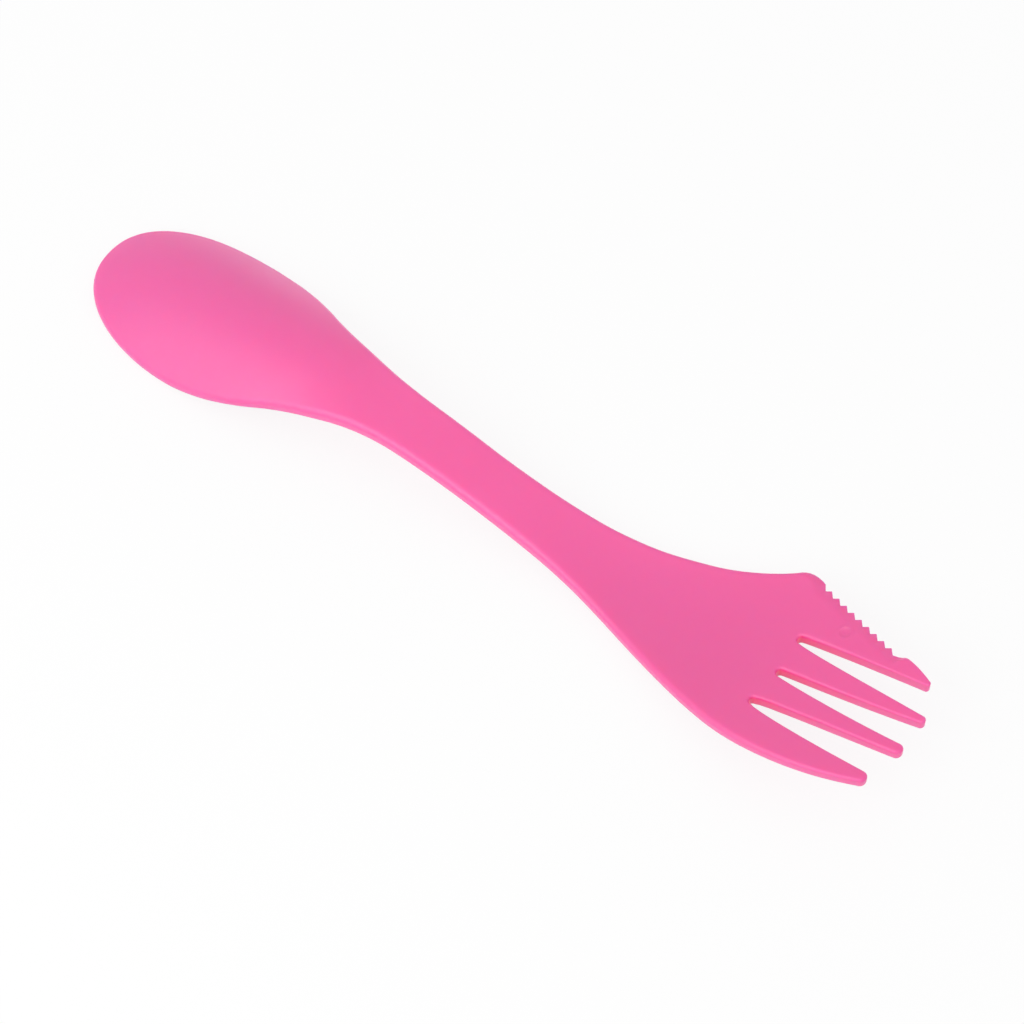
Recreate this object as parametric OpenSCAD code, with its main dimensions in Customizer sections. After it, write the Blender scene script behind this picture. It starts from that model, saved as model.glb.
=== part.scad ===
// A camping spork moulded in one piece: spoon, handle and fork with a serrated outer tine.
// The spork lies as it rests on a table: the spoon opens down and the tines rise.
// X runs from the spoon to the fork, Z is up, and the origin is the middle of the footprint.

/* [Whole spork] */
// Length from the spoon's tip to the tips of the middle tines
spork_len = 170; // [150:1:190]
// Height of the tines' upper face at their tips, over the palm's lowest place
tine_rise = 9.6; // [5:0.2:14]
// Height of the neck's upper face over the palm's lowest place
neck_rise = 6.4; // [3:0.2:10]

/* [Spoon] */
// Greatest width of the bowl
bowl_w = 29.8; // [26:0.2:36]
// Distance from the spoon's tip to the widest place of the bowl
bowl_wide_at = 25; // [20:0.5:28]
// Bluntness of the bowl's nose, where 2 is a plain ellipse
bowl_bluntness = 2.2; // [2:0.1:2.6]
// Height of the bowl's back over its rim
bowl_depth = 7.25; // [5:0.25:11]
// Distance from the spoon's tip to the deepest place of the bowl
bowl_deep_at = 27; // [22:0.5:32]
// Distance from the spoon's tip to the end of the bowl's crown
bowl_len = 64; // [58:1:74]
// Wall of the bowl
bowl_wall = 1.5; // [1.2:0.1:2.4]

/* [Handle] */
// Width of the handle at its waist
waist_w = 10.5; // [8:0.1:14]
// Distance from the spoon's tip to the waist
waist_at = 84; // [78:1:90]
// Thickness of the handle
handle_t = 3.1; // [2.4:0.1:4]

/* [Fork] */
// Width of the fork's head, without the knife's shoulder
head_w = 31.5; // [27:0.5:36]
// Length of the slots, from their roots to the tips of the middle tines
slot_len = 26.4; // [20:0.2:32]
// Distance from the tips of the middle tines back to the widest place of the head
head_wide_back = 22.5; // [18:0.5:28]
// Distance from the tips of the middle tines back to the palm's lowest place
palm_back = 54; // [48:1:60]
// How far the head's middle lies below its edges
dish_depth = 1.8; // [0.5:0.1:2.5]
// Thickness of the tines at their roots
tine_t = 2.8; // [2.2:0.1:3.4]
// Thickness of the tines at their tips
tip_t = 2.3; // [1.6:0.1:3]
// Distance between the middles of two slots
slot_pitch = 7.1; // [6.6:0.05:7.4]
// Sideways shift of the slots, away from the knife edge
slot_shift = 0.45; // [0:0.05:1]
// Width of a slot at its round root
slot_root_w = 1.4; // [1:0.1:2]
// Width of a slot at the tips of the middle tines
slot_mouth_w = 5.4; // [4:0.1:6]
// How far the slots bow towards the knife edge on their way to the tips
slot_bow = 1; // [0:0.1:1.2]
// How much further out the middle slot's root lies than the others
root_ahead = 0.6; // [0:0.1:1.5]
// How far the plain outer tine ends behind the middle ones
outer_setback = 1.8; // [0:0.1:4]
// How far the plain outer tine curves in towards its tip
outer_curve_in = 4.2; // [3:0.1:5]

/* [Knife edge] */
// Distance from the spork's middle line to the knife's shoulder
shoulder_y = 18.3; // [16.5:0.1:20]
// Distance from the tips of the middle tines back to the knife's shoulder
shoulder_back = 31.2; // [30:0.2:36]
// How far the knife's shoulder is rounded
shoulder_round = 1.4; // [0.6:0.1:2]
// Distance from the tips of the middle tines back to the first tooth
first_tooth_back = 27.2; // [26.8:0.2:28.4]
// How far the knife edge draws in over its length
knife_draw_in = 5.9; // [4:0.1:6.5]
// Number of teeth
tooth_count = 9; // [5:1:12]
// Height of a tooth
tooth_h = 0.85; // [0.3:0.05:1.2]
// How far the teeth lie behind the straight line from shoulder to tine tip
tooth_recess = 0.2; // [0.1:0.1:1]
// Width of the bevel behind the teeth
bevel_w = 1.8; // [1:0.1:2.5]
// Thickness of the knife edge
knife_t = 1.1; // [0.6:0.1:1.8]
// Length of the plain stretch between the last tooth and the tine's tip
blunt_len = 8; // [5:0.2:10]
// How far the plain stretch bulges over the straight line
blunt_bulge = 0.4; // [0:0.1:1]
// How far the knife's tine ends behind the middle ones
knife_setback = 3; // [0:0.1:4]

/* [Rounded edges] */
// Edge radius round the bowl
bowl_edge_r = 0.6; // [0.3:0.05:0.6]
// Edge radius along the handle
handle_edge_r = 1.1; // [0.5:0.05:1.2]
// Edge radius along the outer sides of the fork
outer_edge_r = 1; // [0.5:0.05:1.1]
// Edge radius along the slots and round the tips
tine_edge_r = 0.6; // [0.3:0.05:0.7]

/* [Hidden] */

// Columns of facets across one tine, and the four tines
tine_cols = 4;
tines = 4;
body_cols = tines * tine_cols;
// Rows of facets over the nose, over the rest of the body and along a tine
nose_rows = 9;
body_rows = 48;
tine_rows = 11;
// Rows of facets along the plain stretch behind the last tooth
blunt_rows = 4;
// Steps of a rounded edge
edge_steps = 3;
// Step for measuring slopes, far below any facet
slope_step = 0.01;

// Width of the bowl's flare, from its widest place (share 1) to the waist (share 0)
bowl_flare_shares = [[0, 1], [0.12, 0.935], [0.2, 0.83], [0.27, 0.695], [0.33, 0.555],
    [0.4, 0.415], [0.47, 0.3], [0.54, 0.19], [0.61, 0.105], [0.7, 0.043], [0.82, 0.017], [1, 0]];
// Width of the head's flare, from the waist (share 0) to its widest place (share 1)
head_flare_shares = [[0, 0], [0.1, 0.009], [0.19, 0.03], [0.27, 0.065], [0.35, 0.124],
    [0.43, 0.217], [0.5, 0.32], [0.6, 0.495], [0.7, 0.672], [0.8, 0.835], [0.9, 0.957], [1, 1]];
// Height of the edge, from the spoon's tip (share 0) to the neck (share 1)
rim_rise_shares = [[0, 0.05], [0.12, 0.02], [0.25, 0], [0.33, 0.005], [0.41, 0.05], [0.5, 0.175],
    [0.6, 0.385], [0.7, 0.62], [0.8, 0.815], [0.9, 0.955], [1, 1]];
// Height of the edge, from the neck (share 1) down to the palm (share 0)
handle_fall_shares = [[0, 1], [0.12, 0.945], [0.25, 0.82], [0.4, 0.615], [0.55, 0.42],
    [0.7, 0.245], [0.85, 0.085], [1, 0]];
// Height of the edge, from the palm (share 0) up to the tines' tips (share 1) and on past them
head_rise_shares = [[0, 0], [0.13, 0.05], [0.28, 0.176], [0.43, 0.34], [0.58, 0.52],
    [0.74, 0.727], [0.87, 0.88], [1, 1], [1.15, 1.12]];
// Where the neck is highest, as a share of the waist's place
neck_share = 0.76;
// Where the wall starts to grow from the bowl's to the handle's, and where it has grown
wall_start_share = 0.5;
// Where the dish of the head starts, as a share of the way from waist to widest place
dish_start_share = 0.05;
// Share of the nose that the front row of facets spans
nose_front_share = 0.8;
// Each slot, from the plain side: its mouth's width, its bow and its root's place, as shares of
// the sizes above
mouth_shares = [1.06, 0.93, 0.95];
bow_shares = [0.8, 1.1, 0.35];
root_ahead_shares = [0, 1, 0];
// How fast each slot opens: below 1 it opens most near the root
opening_shares = [0.64, 0.85, 0.76];
// Where the shoulder's flare leaves the head's plain outline
shoulder_from_share = 0.62;
// How far along its pitch a tooth is highest
tooth_lean_share = 0.35;
// Part of a tine tip's radius that its rounded edge may take
tip_edge_share = 0.6;
// Angle over which the plain stretch's bulge rises and falls
half_turn = 180;
// Angle round a slot's root at which the first row of facets lies
root_angle = 45;
// Angle that the last row of facets spans on a tine's tip, each way
tip_angle = 65;
// Rounds in which the place of a tip's centre settles
tip_tries = 6;

root_at = spork_len - slot_len;
head_wide_at = spork_len - head_wide_back;
palm_at = spork_len - palm_back;
shoulder_at = spork_len - shoulder_back;
neck_at = neck_share * waist_at;
// Height of the outline at the palm: the palm lies on the table below its own dish
palm_edge_z = wall(palm_at) + dish(palm_at);
// Height of the bowl's outline: its wall leans with the flank and its rounded rim is on the table
rim_share = 1 - 2 * bowl_edge_r / bowl_w;
flank = atan(4 * bowl_depth / bowl_w * rim_share);
rim_z = bowl_wall / cos(flank) - bowl_depth * (1 - rim_share ^ 2)
    + bowl_edge_r * (1 - cos(flank)) / (1 + sin(flank));
bowl_nose_x = nose_x(nose_front_share);
sheet_root_at = root_at - tine_edge_r;
plain_end = spork_len - outer_setback;
knife_end = spork_len - knife_setback;
knife_from = spork_len - first_tooth_back;
knife_to = knife_end - blunt_len;
tooth_pitch = (knife_to - knife_from) / tooth_count;
// The first tooth starts with a fall from the shoulder, like the other teeth's
shoulder_end = knife_from - (1 - tooth_lean_share) * tooth_pitch;
// How far the rows of facets end earlier at the knife than at the slots' roots
knife_lead = sheet_root_at - shoulder_end;
// The knife's bevel takes the whole depth of the teeth, and falls evenly to the edge
bevel_reach = bevel_w + tooth_h;
bevel_fall_share = (tine_t - knife_t) / 2 / bevel_reach;

// Smooth curve through a table of shares, flat at both ends
function table_slope(t, k) = k == 0 || k == len(t) - 1 ? 0
    : (t[k + 1][1] - t[k - 1][1]) / (t[k + 1][0] - t[k - 1][0]);
function table_seg(t, s, k = 0) = k >= len(t) - 2 || s < t[k + 1][0] ? k : table_seg(t, s, k + 1);
function hermite(a, b, sa, sb, h, u) =
    a * (1 + 2 * u) * (1 - u) ^ 2 + b * u ^ 2 * (3 - 2 * u)
    + h * sa * u * (1 - u) ^ 2 + h * sb * u ^ 2 * (u - 1);
function smooth_at(t, s) = let (c = min(max(s, t[0][0]), t[len(t) - 1][0]), k = table_seg(t, c),
    h = t[k + 1][0] - t[k][0])
    hermite(t[k][1], t[k + 1][1], table_slope(t, k), table_slope(t, k + 1), h, (c - t[k][0]) / h);
// Soft step from 0 at a to 1 at b, and a minimum with a round corner
function step(a, b, x) = let (u = min(max((x - a) / (b - a), 0), 1)) u * u * (3 - 2 * u);
function soft_min(a, b, r) = min(a, b) - max(r - abs(a - b), 0) ^ 2 / (4 * r);
function mix(a, b, u) = a + (b - a) * u;

// Plan: half width of the plain outline at a distance x from the spoon's tip
function nose_x(f) = bowl_wide_at * (1 - (1 - abs(f) ^ bowl_bluntness) ^ (1 / bowl_bluntness));
function nose_w(x) = bowl_w / 2
    * (1 - (1 - max(x, 0) / bowl_wide_at) ^ bowl_bluntness) ^ (1 / bowl_bluntness);
function half_w(x) =
    x < bowl_wide_at ? nose_w(x)
    : x < waist_at ? mix(waist_w, bowl_w,
        smooth_at(bowl_flare_shares, (x - bowl_wide_at) / (waist_at - bowl_wide_at))) / 2
    : mix(waist_w, head_w,
        smooth_at(head_flare_shares, (x - waist_at) / (head_wide_at - waist_at))) / 2;
// Outer edge of the plain outer tine, and of the tine with the knife
function plain_side(x) = half_w(x)
    - outer_curve_in * (max(x - head_wide_at, 0) / (plain_end - head_wide_at)) ^ bowl_bluntness;
function knife_line(x) = shoulder_y - knife_draw_in * (x - shoulder_at) / (knife_to - shoulder_at)
    + blunt_bulge * sin(half_turn * max(x - knife_to, 0) / blunt_len);
shoulder_from = mix(waist_at, head_wide_at, shoulder_from_share);
function flare_line(x) = let (w = half_w(shoulder_from),
    slope = (w - half_w(shoulder_from - slope_step)) / slope_step,
    run = shoulder_at - shoulder_from, end_slope = 2 * (shoulder_y - w) / run - slope,
    u = (x - shoulder_from) / run)
    w + run * (slope * u + (end_slope - slope) * u * u / 2);
function knife_side(x) = x < shoulder_from ? half_w(x)
    : soft_min(flare_line(x), knife_line(x), shoulder_round);

// Heights: upper face along the outline, crown of the bowl, dish of the head and wall
function edge_z(x) =
    x < neck_at ? mix(rim_z, neck_rise + palm_edge_z, smooth_at(rim_rise_shares, x / neck_at))
    : x < palm_at ? palm_edge_z
        + neck_rise * smooth_at(handle_fall_shares, (x - neck_at) / (palm_at - neck_at))
    : palm_edge_z + tine_rise * smooth_at(head_rise_shares, (x - palm_at) / (spork_len - palm_at));
function crown(x) = bowl_depth * (x < bowl_deep_at ? 1 - (1 - max(x, 0) / bowl_deep_at) ^ 2
    : 1 - step(bowl_deep_at, bowl_len, x));
function dish(x) = dish_depth
    * step(dish_start_share, 1, (x - waist_at) / (head_wide_at - waist_at));
function upper_z(p) = let (f = p[1] / max(half_w(p[0]), slope_step))
    edge_z(p[0]) + (crown(p[0]) - dish(p[0])) * (1 - f * f);
function wall(x) = x < waist_at ? mix(bowl_wall, handle_t, step(wall_start_share * neck_at, neck_at, x))
    : x < root_at ? mix(handle_t, tine_t, step(waist_at, root_at, x))
    : mix(tine_t, tip_t, (x - root_at) / slot_len);
function edge_r(x) = x < waist_at
    ? mix(bowl_edge_r, handle_edge_r, step(wall_start_share * neck_at, neck_at, x))
    : mix(handle_edge_r, outer_edge_r, step(waist_at, root_at, x));
// Share of the bevel in the knife side's edge: it fades in along the shoulder and out past the teeth
function bevelled(x) = step(shoulder_at - bevel_w, shoulder_end, x)
    * (1 - step(knife_to, knife_to + bevel_w, x));
function knife_inset(x, r) = mix(r, bevel_reach + tooth_recess, bevelled(x));

// Slots: half the gap of slot s at a distance u from its root, and grown by the edge radius
function half_gap(s, u) = let (r = slot_root_w / 2, run = slot_len - r)
    u < r ? sqrt(max(r * r - (r - u) ^ 2, 0))
    : mix(r, slot_mouth_w * mouth_shares[s] / 2, ((u - r) / run) ^ opening_shares[s]);
function grown_gap(s, u) = let (r = slot_root_w / 2 + tine_edge_r)
    u < r ? sqrt(max(r * r - (r - u) ^ 2, 0)) : half_gap(s, u - tine_edge_r) + tine_edge_r;
function slot_x(s) = root_at + root_ahead * root_ahead_shares[s];
function slot_y(s, x) = (s - 1) * slot_pitch - slot_shift
    + slot_bow * bow_shares[s] * (max(x - root_at, 0) / slot_len) ^ 3;

// Tines are counted from the plain side: their inner edges follow the slots
function tine_lo(t, x) = t == 0 ? -plain_side(x)
    : slot_y(t - 1, x) + half_gap(t - 1, x - slot_x(t - 1));
function tine_hi(t, x) = t == tines - 1 ? knife_line(x) : slot_y(t, x) - half_gap(t, x - slot_x(t));
function tine_end(t) = t == 0 ? plain_end : t == tines - 1 ? knife_end : spork_len;
function tip_r(t, x) = (tine_hi(t, x) - tine_lo(t, x)) / 2;
function tip_at(t, x, n) = n == 0 ? x : tip_at(t, tine_end(t) - tip_r(t, x), n - 1);
tips = [for (t = [0 : tines - 1]) let (x = tip_at(t, tine_end(t) - tine_edge_r, tip_tries))
    [x, (tine_hi(t, x) + tine_lo(t, x)) / 2, tip_r(t, x)]];

// Sheet: plan points of the upper face inside the rounded edge, row by row
function unit(v) = v / norm(v);
// A point of an outline moved inwards by its edge radius
function inset(p, ahead, side, r) = let (d = unit(ahead - p)) p + side * r * [-d[1], d[0]];
function near_edge(x) = let (q = x + slope_step)
    inset([x, -plain_side(x)], [q, -plain_side(q)], 1, edge_r(x));
function far_edge(x) = let (e = x - knife_lead * step(palm_at, sheet_root_at, x), q = e + slope_step)
    inset([e, knife_side(e)], [q, knife_side(q)], -1, knife_inset(e, edge_r(e)));
function nose_point(f) = [nose_x(f), f * bowl_w / 2];
function nose_edge(f) = inset(nose_point(f), nose_point(f + slope_step), -1, bowl_edge_r);
function bow(f) = 1 - nose_x(f * nose_front_share) / bowl_nose_x;
function nose_row(i) = let (s = i / nose_rows, x = mix(bowl_nose_x, bowl_wide_at, s),
    a = near_edge(x), b = far_edge(x))
    [for (j = [0 : body_cols]) let (f = 2 * j / body_cols - 1)
        i == 0 ? nose_edge(f * nose_front_share)
        : mix(a, b, j / body_cols) - [bowl_nose_x * (1 - s) ^ 2 * bow(f), 0]];
// Columns gather towards the slots as the body nears their roots
function column_y(a, b, j, x) = let (t = min(floor(j / tine_cols), tines - 1),
    lo = t == 0 ? a[1] : slot_y(t - 1, x), hi = t == tines - 1 ? b[1] : slot_y(t, x))
    mix(mix(a[1], b[1], j / body_cols), mix(lo, hi, j / tine_cols - t), step(waist_at, sheet_root_at, x));
function body_row(i) = let (x = mix(bowl_wide_at, sheet_root_at, i / body_rows),
    a = near_edge(x), b = far_edge(x))
    [for (j = [0 : body_cols]) let (y = column_y(a, b, j, x), to_roots = step(waist_at, sheet_root_at, x))
        [mix(mix(a[0], b[0], (y - a[1]) / (b[1] - a[1])), root_row_x(a, b, j), to_roots), y]];
// The last row follows the slots' roots, and slants only behind the knife
function root_row_x(a, b, j) = let (t = j / tine_cols, k = floor(t))
    mix(a[0], b[0], max(t - tines + 1, 0)) + mix(root_lead(k), root_lead(k + 1), t - k);
function root_lead(k) = k == 0 || k >= tines ? 0 : root_ahead * root_ahead_shares[k - 1];

// Places of a tine's rows, first at its slot or plain side and then at the knife
root_r = slot_root_w / 2 + tine_edge_r;
teeth_rows = 2 * tooth_count;
function rows_of(t) = t == tines - 1 ? teeth_rows + 1 + blunt_rows : tine_rows;
function knife_x(i) = i <= teeth_rows + 1
    ? knife_from + tooth_pitch * (floor((i - 1) / 2) + (i % 2 == 0 ? tooth_lean_share : 0))
    : mix(knife_to, tips[tines - 1][0], (i - teeth_rows - 1) / blunt_rows);
function row_x(t, i) = let (n = t == tines - 1 ? teeth_rows + 1 : rows_of(t),
    end = t == tines - 1 ? knife_to : tips[t][0])
    i == 1 ? sheet_root_at + root_r * (1 - cos(root_angle)) : i > n ? knife_x(i)
    : sheet_root_at + mix(root_r, end - sheet_root_at, (i - 2) / (n - 2));
function tip_edge_r(t) = min(tine_edge_r, tip_edge_share * tips[t][2]);
// Depth of the rounded edge at a row of a tine: it shrinks only where the tip is narrow
function tine_edge(t, x, r) = mix(r, tip_edge_r(t), step(root_at + root_r, tips[t][0], x));
function sheet_gap(t, s, x) = grown_gap(s, x - slot_x(s) + tine_edge_r) - tine_edge_r
    + tine_edge(t, x, tine_edge_r);
function sheet_lo(t, x) = t == 0 ? -plain_side(x) + tine_edge(t, x, outer_edge_r)
    : slot_y(t - 1, x) + sheet_gap(t, t - 1, x);
function sheet_hi(t, x) = t < tines - 1 ? slot_y(t, x) - sheet_gap(t, t, x)
    : knife_line(x) - knife_inset(x, tine_edge(t, x, tine_edge_r));
// A row starts and ends ahead where the slot's root does, and no longer at the tips
function ahead(t, s, x) = (slot_x(s) - root_at) * (tips[t][0] - x) / (tips[t][0] - sheet_root_at);
function tine_row(t, i) = let (x = row_x(t, i), a = t == 0 ? x : x + ahead(t, t - 1, x),
    b = t == tines - 1 ? knife_x(i) : x + ahead(t, t, x))
    [for (k = [0 : tine_cols]) mix([a, sheet_lo(t, a)], [b, sheet_hi(t, b)], k / tine_cols)];
function tip_row(t) = let (r = tips[t][2] - tip_edge_r(t))
    [for (k = [0 : tine_cols]) let (a = mix(-tip_angle, tip_angle, k / tine_cols))
        [tips[t][0] + r * cos(a), tips[t][1] + r * sin(a)]];

sheet = [for (i = [0 : nose_rows - 1]) each nose_row(i), for (i = [0 : body_rows]) each body_row(i),
    for (t = [0 : tines - 1]) each [for (i = [1 : rows_of(t)]) each tine_row(t, i), each tip_row(t)]];
last_row = nose_rows + body_rows;
function body_id(i, j) = i * (body_cols + 1) + j;
function tine_base(t) = t == 0 ? body_id(last_row + 1, 0)
    : tine_base(t - 1) + (rows_of(t - 1) + 1) * (tine_cols + 1);
function tine_id(t, i, k) = i == 0 ? body_id(last_row, t * tine_cols + k)
    : tine_base(t) + (i - 1) * (tine_cols + 1) + k;

// Rim of the sheet, once round against the clock: its point, its tine and its row. Rows are counted
// below 0 on a tine's side towards the knife, and the sides of the body stand as tines below 0
near_side = -1;
far_side = -2;
function tine_rim(t) = let (n = rows_of(t) + 1)
    [each [for (i = [1 : n]) [tine_id(t, i, 0), t, i]],
     each [for (k = [1 : tine_cols]) [tine_id(t, n, k), t, n]],
     each [for (i = [n - 1 : -1 : 1]) [tine_id(t, i, tine_cols), t, -i]],
     if (t < tines - 1) [tine_id(t, 0, tine_cols), t, 0]];
rim = [each [for (j = [body_cols : -1 : 1]) [body_id(0, j), near_side, 0]],
    each [for (i = [0 : last_row]) [body_id(i, 0), near_side, 0]],
    each [for (t = [0 : tines - 1]) each tine_rim(t)],
    each [for (i = [last_row : -1 : 1]) [body_id(i, body_cols), far_side, 0]]];
rim_count = len(rim);
// Radius of the rounded edge, reach of the bevel and its share in the edge at a place of the rim
function rim_radius(b) = let (x = sheet[rim[b][0]][0], t = rim[b][1])
    t < 0 ? edge_r(x) : tine_edge(t, x, t == 0 && rim[b][2] > 0 ? outer_edge_r : tine_edge_r);
function rim_bevel(b) = let (i = -rim[b][2], toothed = rim[b][1] >= 0 && i <= teeth_rows + 1)
    bevel_w + (toothed && i % 2 != 0 ? 0 : toothed ? tooth_h : tooth_h + tooth_recess);
function rim_bevelled(b) = let (t = rim[b][1], x = sheet[rim[b][0]][0])
    t == far_side || t == tines - 1 && rim[b][2] < 0 ? bevelled(x) : 0;

// Solid: the upper face, the same face one wall lower, and the rounded edge between them
function with_z(p) = [p[0], p[1], upper_z(p)];
// How much higher the wall stands than it is thick, where the face leans
function leaning(p) = let (e = slope_step, z = upper_z(p))
    norm([z - upper_z(p + [e, 0]), z - upper_z(p + [0, e]), e]) / e;
upper = [for (p = sheet) with_z(p)];
lower = [for (p = sheet) with_z(p) - [0, 0, wall(p[0]) * leaning(p)]];
function rim_out(b) = let (p = sheet[rim[(b + rim_count - 1) % rim_count][0]],
    q = sheet[rim[(b + 1) % rim_count][0]], d = unit(q - p)) [d[1], -d[0]];
// The rounded edge turns from the slope of the face, on either side, until it stands upright
function edge_arc(lean, reach, s) = let (r = reach / (1 - sin(lean)), a = mix(lean, 90, s / edge_steps))
    [r * (sin(a) - sin(lean)), r * (cos(lean) - cos(a))];
function edge_bevel(lean, reach, s) = reach * s / edge_steps * [1, tan(lean) + bevel_fall_share];
function edge_point(b, side, s) = let (id = rim[b][0], p = sheet[id], o = rim_out(b),
    lean = side * atan((upper_z(p - slope_step * o) - upper_z(p)) / slope_step),
    move = mix(edge_arc(lean, rim_radius(b), s), edge_bevel(lean, rim_bevel(b), s), rim_bevelled(b)))
    (side > 0 ? upper[id] : lower[id]) + [move[0] * o[0], move[0] * o[1], -side * move[1]];
edges = [for (s = [1 : edge_steps]) each [for (b = [0 : rim_count - 1]) edge_point(b, 1, s)],
    for (s = [edge_steps : -1 : 1]) each [for (b = [0 : rim_count - 1]) edge_point(b, -1, s)]];
loose_points = [each upper, each lower, each edges];

// The spork rests on the table, with the middle of its footprint at the origin
function span(k) = let (v = [for (p = loose_points) p[k]]) [min(v), max(v)];
seat = [-(span(0)[0] + span(0)[1]) / 2, -(span(1)[0] + span(1)[1]) / 2, -span(2)[0]];

sheet_count = len(sheet);
function quad(a, b, c, d) = [[a, b, c], [a, c, d]];
cells = [for (i = [0 : last_row - 1], j = [0 : body_cols - 1])
        [body_id(i, j), body_id(i + 1, j), body_id(i + 1, j + 1), body_id(i, j + 1)],
    for (t = [0 : tines - 1], i = [0 : rows_of(t)], k = [0 : tine_cols - 1])
        [tine_id(t, i, k), tine_id(t, i + 1, k), tine_id(t, i + 1, k + 1), tine_id(t, i, k + 1)]];
function loop_id(s, b) = s == 0 ? rim[b % rim_count][0]
    : s > 2 * edge_steps ? sheet_count + rim[b % rim_count][0]
    : 2 * sheet_count + (s - 1) * rim_count + b % rim_count;
faces = [for (c = cells) each quad(c[3], c[2], c[1], c[0]),
    for (c = cells) let (n = sheet_count) each quad(c[0] + n, c[1] + n, c[2] + n, c[3] + n),
    for (s = [0 : 2 * edge_steps], b = [0 : rim_count - 1])
        each quad(loop_id(s, b), loop_id(s, b + 1), loop_id(s + 1, b + 1), loop_id(s + 1, b))];

module spork() {
    color([0.95, 0.42, 0.65])
        translate(seat)
            polyhedron(points = loose_points, faces = faces);
}

spork();
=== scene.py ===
"""A camping spork moulded in one piece, as it lies on a table: spoon open side down, tines up."""
from math import atan2, cos, radians, sin

import bpy
import numpy as np
from bpy.props import FloatProperty, FloatVectorProperty, IntProperty, PointerProperty
from mathutils import Matrix, Vector


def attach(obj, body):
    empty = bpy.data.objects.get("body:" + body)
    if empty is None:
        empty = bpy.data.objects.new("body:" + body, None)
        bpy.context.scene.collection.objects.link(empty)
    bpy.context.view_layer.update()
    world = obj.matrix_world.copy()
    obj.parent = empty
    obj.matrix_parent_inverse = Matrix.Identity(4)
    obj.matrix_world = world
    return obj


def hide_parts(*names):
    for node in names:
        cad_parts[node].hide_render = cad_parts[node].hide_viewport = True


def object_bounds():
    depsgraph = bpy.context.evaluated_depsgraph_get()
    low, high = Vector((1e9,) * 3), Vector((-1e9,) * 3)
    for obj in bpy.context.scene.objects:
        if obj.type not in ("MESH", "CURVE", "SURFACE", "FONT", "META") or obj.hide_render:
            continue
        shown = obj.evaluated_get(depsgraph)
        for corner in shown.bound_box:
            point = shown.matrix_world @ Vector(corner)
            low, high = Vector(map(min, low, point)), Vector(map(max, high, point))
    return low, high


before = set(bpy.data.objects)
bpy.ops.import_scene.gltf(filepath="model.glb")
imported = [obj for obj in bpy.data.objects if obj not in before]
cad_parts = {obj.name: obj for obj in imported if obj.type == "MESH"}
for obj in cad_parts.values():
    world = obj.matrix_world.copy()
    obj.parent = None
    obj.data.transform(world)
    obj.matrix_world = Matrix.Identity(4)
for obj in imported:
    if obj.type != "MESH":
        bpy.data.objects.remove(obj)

CAD_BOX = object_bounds()
NODE = "spork"
LENGTH = CAD_BOX[1][0] - CAD_BOX[0][0]

bl_info = {
    "name": "Camping spork",
    "version": (1, 0, 0),
    "blender": (4, 5, 0),
    "location": "3D View > Sidebar > Spork",
    "description": "Makes a one-piece plastic spork and its studio",
    "category": "Add Mesh",
}


def size(name, description, default):
    return FloatProperty(name=name, description=description, default=default, unit="LENGTH", precision=5)


def share(name, description, default):
    return FloatProperty(name=name, description=description, default=default, min=0, max=1, subtype="FACTOR")


def colour(name, description, default):
    return FloatVectorProperty(name=name, description=description, default=default,
                               min=0, max=1, subtype="COLOR")


def angle(name, description, degrees):
    return FloatProperty(name=name, description=description, default=radians(degrees), subtype="ANGLE")


def number(name, description, default):
    return FloatProperty(name=name, description=description, default=default)


class SporkShape(bpy.types.PropertyGroup):
    """Sizes of the spork, with places along it measured from the spoon's tip"""
    length: size("Length", "From the spoon's tip to the tips of the middle tines", LENGTH)
    tine_rise: size("Tine rise", "Height of the tines' tips over the palm's lowest place", 0.0096)
    neck_rise: size("Neck rise", "Height of the neck over the palm's lowest place", 0.0064)
    bowl_w: size("Bowl width", "Greatest width of the bowl", 0.0298)
    bowl_wide_at: size("Bowl widest at", "Place where the bowl is widest", 0.025)
    bowl_bluntness: FloatProperty(name="Bowl bluntness", description="2 is a plain ellipse",
                                  default=2.2, min=2, max=3)
    bowl_depth: size("Bowl depth", "Height of the bowl's back over its rim", 0.00725)
    bowl_deep_at: size("Bowl deepest at", "Place where the bowl is deepest", 0.027)
    bowl_len: size("Bowl length", "Place where the bowl's crown ends", 0.064)
    bowl_wall: size("Bowl wall", "Thickness of the bowl", 0.0015)
    waist_w: size("Waist width", "Width of the handle at its waist", 0.0105)
    waist_at: size("Waist at", "Place of the waist", 0.084)
    handle_t: size("Handle thickness", "Thickness of the handle", 0.0031)
    head_w: size("Head width", "Width of the fork's head without the shoulder", 0.0315)
    head_wide_back: size("Head widest at", "From the middle tines' tips back to the head's widest place", 0.0225)
    palm_back: size("Palm at", "From the middle tines' tips back to the palm's lowest place", 0.054)
    dish_depth: size("Dish depth", "How far the head's middle lies below its edges", 0.0018)
    tine_t: size("Tine thickness", "Thickness of the tines at their roots", 0.0028)
    tip_t: size("Tip thickness", "Thickness of the tines at their tips", 0.0023)


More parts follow.
